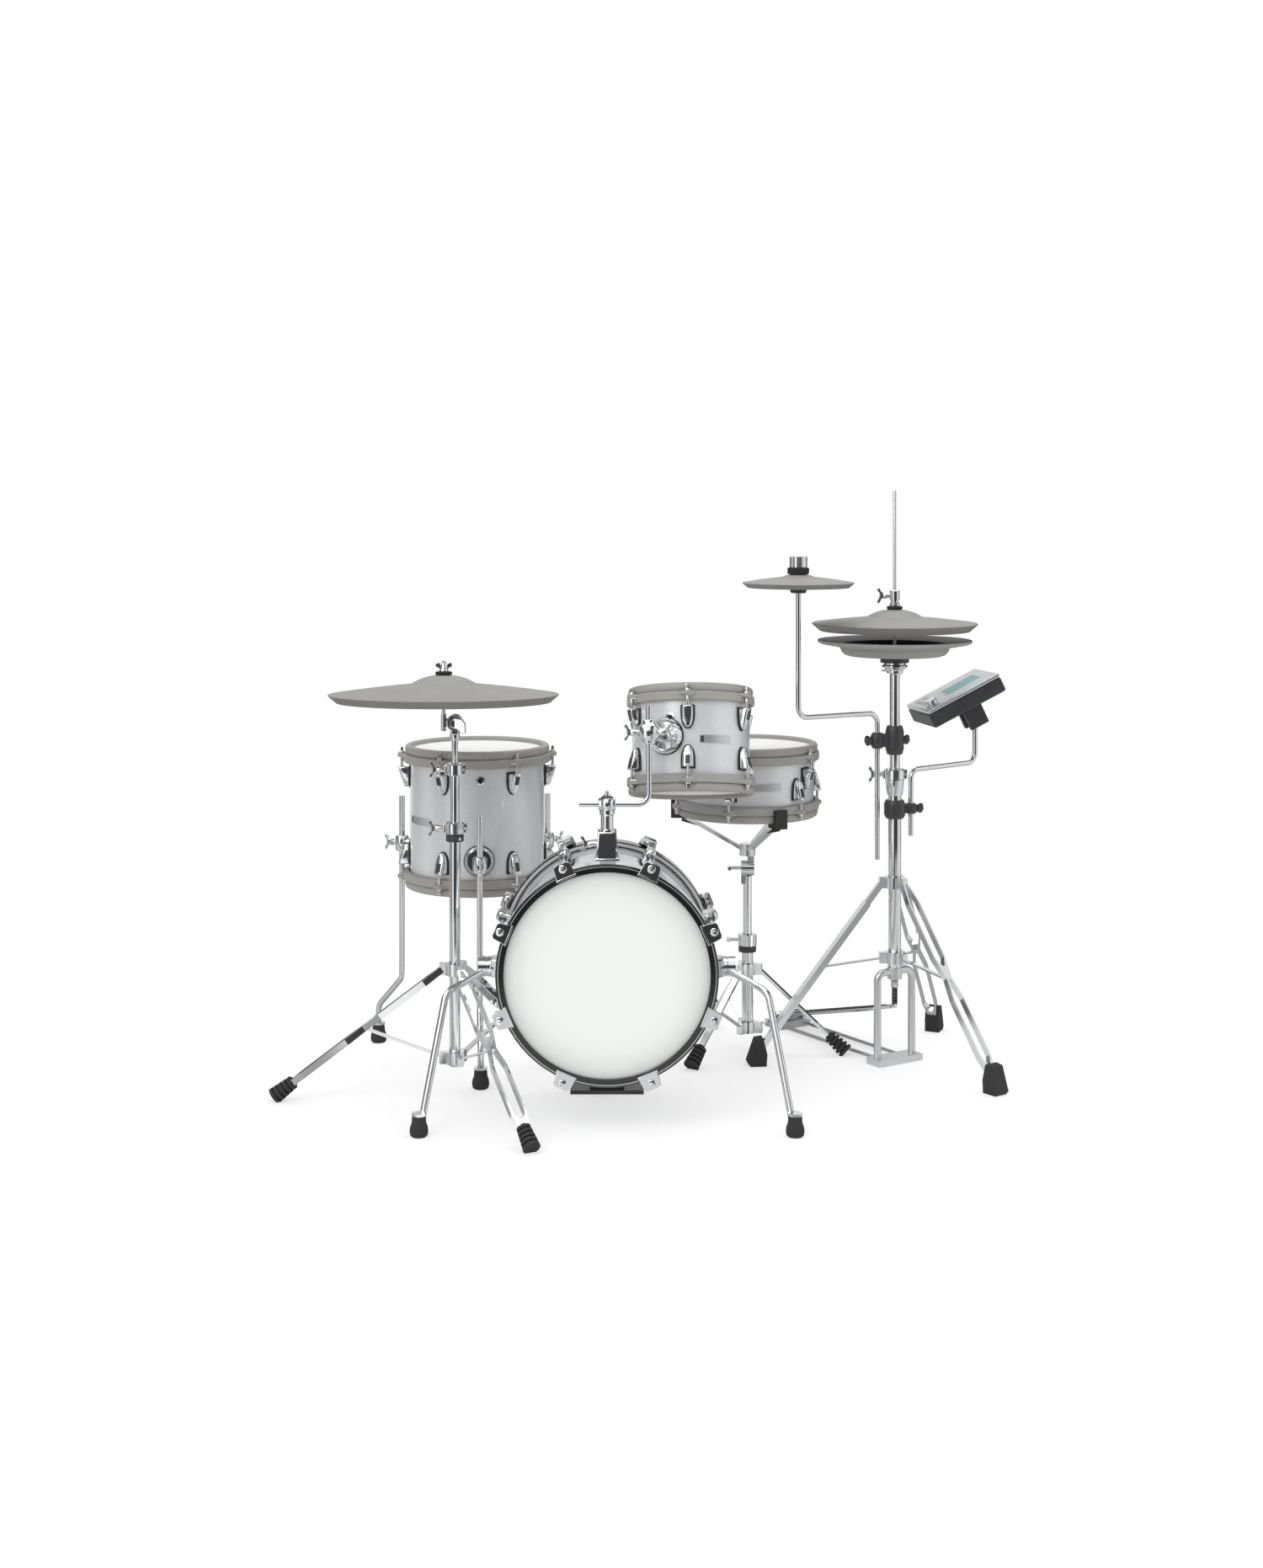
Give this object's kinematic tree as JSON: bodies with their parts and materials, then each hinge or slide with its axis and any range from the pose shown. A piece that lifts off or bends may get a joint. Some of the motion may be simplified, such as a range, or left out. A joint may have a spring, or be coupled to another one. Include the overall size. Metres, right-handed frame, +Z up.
{
  "type": "electronic drum kit",
  "caption": "Electronic drum kit: bass drum on spurs with a rack tom, legged floor tom, snare on a stand, pad cymbals on tripod stands, hi-hat with pedal, and a sound module.",
  "frame": {"origin": "centre of the kit on the floor, under the middle of its bounding box", "axes": "+X across the kit towards the hi-hat, +Y towards the player, +Z up from the floor"},
  "size_m": [1.5621, 1.0196, 1.233],
  "materials": {
    "shell": "satin silver sparkle wrap",
    "hoop_grey": "matt",
    "hoop_black": "gloss lacquer",
    "head": "smooth",
    "chrome": "mirror",
    "steel": "satin",
    "black_rubber": "matt",
    "pad_rubber": "matt",
    "black_plastic": "satin",
    "case_plastic": "satin",
    "panel": "satin"
  },
  "bodies": {
    "kit": {"bass_shell": "shell", "bass_heads": "head", "bass_rear_hoop": "hoop_black", "bass_front_hoop": "hoop_black", "bass_lugs": "chrome", "bass_claws_and_rods": "chrome", "spur_and_leg_brackets": "chrome", "bass_lift": "black_plastic", "tom_mount_base": "chrome", "floor_tom_shell": "shell", "floor_tom_hoops": "hoop_grey", "floor_tom_heads": "head", "floor_tom_lugs_and_rods": "chrome", "drum_triggers": "black_plastic", "cymbal_base_tube": "chrome", "cymbal_tripod": "steel", "snare_base_tube": "chrome", "snare_tripod": "steel", "hihat_base_tube": "chrome", "hihat_tripod": "steel", "hihat_frame": "steel", "tripod_feet": "black_rubber", "module_clamp": "black_plastic"},
    "spur_left": {"bass_spur_left": "chrome"},
    "spur_right": {"bass_spur_right": "chrome"},
    "tom_post": {"tom_mount_post": "chrome"},
    "tom_arm": {"tom_arm": "chrome"},
    "rack_tom": {"rack_tom_shell": "shell", "rack_tom_hoops": "hoop_grey", "rack_tom_heads": "head", "rack_tom_lugs_and_rods": "chrome", "rack_tom_bracket": "chrome", "rack_tom_trigger": "black_plastic"},
    "floor_leg_front": {"floor_tom_leg_front": "chrome"},
    "floor_leg_right": {"floor_tom_leg_right": "chrome"},
    "floor_leg_left": {"floor_tom_leg_left": "chrome"},
    "snare_tube": {"snare_upper_tube": "chrome"},
    "snare": {"snare_basket": "chrome", "snare_shell": "shell", "snare_hoops": "hoop_grey", "snare_heads": "head", "snare_lugs_and_rods": "chrome", "snare_trigger": "black_plastic"},
    "cymbal_tube": {"cymbal_upper_tube": "chrome"},
    "cymbal_tilter": {"cymbal_tilter": "chrome"},
    "ride": {"ride_cymbal": "pad_rubber"},
    "ride_nut": {"ride_wing_nut": "chrome"},
    "hihat_tube": {"hihat_upper_tube": "chrome", "hihat_bottom_cymbal": "pad_rubber", "splash_clamp": "black_plastic"},
    "hihat_rod": {"hihat_pull_rod": "chrome", "hihat_top_cymbal": "pad_rubber", "hihat_chain": "chrome"},
    "pedal": {"hihat_pedal": "panel"},
    "splash_arm": {"splash_arm": "chrome"},
    "splash": {"splash_cymbal": "pad_rubber"},
    "module_arm": {"module_arm": "chrome"},
    "module": {"module_case": "case_plastic", "module_panel": "panel"},
    "module_knob": {"module_knob": "panel"}
  },
  "joints": [
    {"name": "tom_post_height", "type": "slide", "parent": "kit", "child": "tom_post", "axis": [0, 0, 1], "range_m": [-0.025, 0.05]},
    {"name": "tom_arm_tilt", "type": "hinge", "parent": "tom_post", "child": "tom_arm", "pos_m": [-0.0984, -0.2455, 0.613], "axis": [1, 0, 0], "range_deg": [-3, 20]},
    {"name": "rack_tom_height", "type": "slide", "parent": "tom_arm", "child": "rack_tom", "axis": [0, 0.2079, 0.9781], "range_m": [-0.02, 0.025]},
    {"name": "spur_left_fold", "type": "hinge", "parent": "kit", "child": "spur_left", "pos_m": [-0.3462, -0.2155, 0.286], "axis": [-1, 0, 0], "range_deg": [0, 50]},
    {"name": "spur_right_fold", "type": "hinge", "parent": "kit", "child": "spur_right", "pos_m": [0.1494, -0.2155, 0.286], "axis": [-1, 0, 0], "range_deg": [0, 50]},
    {"name": "floor_leg_front_height", "type": "slide", "parent": "kit", "child": "floor_leg_front", "axis": [0, 0, 1], "range_m": [0, 0.09]},
    {"name": "floor_leg_right_height", "type": "slide", "parent": "kit", "child": "floor_leg_right", "axis": [0, 0, 1], "range_m": [0, 0.09]},
    {"name": "floor_leg_left_height", "type": "slide", "parent": "kit", "child": "floor_leg_left", "axis": [0, 0, 1], "range_m": [0, 0.09]},
    {"name": "snare_height", "type": "slide", "parent": "kit", "child": "snare_tube", "axis": [0, 0, 1], "range_m": [-0.05, 0.05]},
    {"name": "snare_tilt", "type": "hinge", "parent": "snare_tube", "child": "snare", "pos_m": [0.2116, 0.2525, 0.4], "axis": [1, 0, 0], "range_deg": [-12, 0]},
    {"name": "cymbal_height", "type": "slide", "parent": "kit", "child": "cymbal_tube", "axis": [0, 0, 1], "range_m": [-0.08, 0.06]},
    {"name": "cymbal_tilt", "type": "hinge", "parent": "cymbal_tube", "child": "cymbal_tilter", "pos_m": [-0.4044, -0.1715, 0.766], "axis": [0, 1, 0], "range_deg": [-15, 15]},
    {"name": "ride_rock", "type": "hinge", "parent": "cymbal_tilter", "child": "ride", "pos_m": [-0.4274, -0.16294, 0.85396], "axis": [1, 0, 0], "range_deg": [-4, 4]},
    {"name": "ride_nut_turn", "type": "hinge", "parent": "cymbal_tilter", "child": "ride_nut", "pos_m": [-0.4274, -0.16293, 0.85398], "axis": [0, 0.0314, 0.9995], "continuous": true},
    {"name": "hihat_height", "type": "slide", "parent": "kit", "child": "hihat_tube", "axis": [0, 0, 1], "range_m": [-0.028, 0.016]},
    {"name": "hihat_pull", "type": "slide", "parent": "kit", "child": "hihat_rod", "axis": [0, 0, 1], "range_m": [-0.017, 0], "stiffness_N_per_m": 800, "springref_m": 0.04},
    {"name": "pedal_press", "type": "hinge", "parent": "kit", "child": "pedal", "pos_m": [0.31892, 0.46155, 0.026], "axis": [0.8406, 0.5417, 0], "range_deg": [0, 5]},
    {"name": "splash_swivel", "type": "hinge", "parent": "hihat_tube", "child": "splash_arm", "pos_m": [0.4836, 0.1345, 0.695], "axis": [0, 0, 1], "range_deg": [-40, 40]},
    {"name": "splash_rock", "type": "hinge", "parent": "splash_arm", "child": "splash", "pos_m": [0.3046, 0.0345, 1.0496], "axis": [1, 0, 0], "range_deg": [-2.4, 2.4]},
    {"name": "module_swivel", "type": "hinge", "parent": "kit", "child": "module_arm", "pos_m": [0.5586, 0.1545, 0.546], "axis": [0, 0, 1], "range_deg": [-25, 25]},
    {"name": "module_tilt", "type": "hinge", "parent": "module_arm", "child": "module", "pos_m": [0.7206, 0.2895, 0.722], "axis": [-0.2079, 0.9781, 0], "range_deg": [-20, 20]},
    {"name": "module_knob_turn", "type": "hinge", "parent": "module", "child": "module_knob", "pos_m": [0.61635, 0.2244, 0.76246], "axis": [-0.4288, -0.0911, 0.8988], "continuous": true}
  ],
  "couplings": [
    {"joint": "pedal_press", "follows": "hihat_pull", "rad_per_m": -2.7}
  ]
}
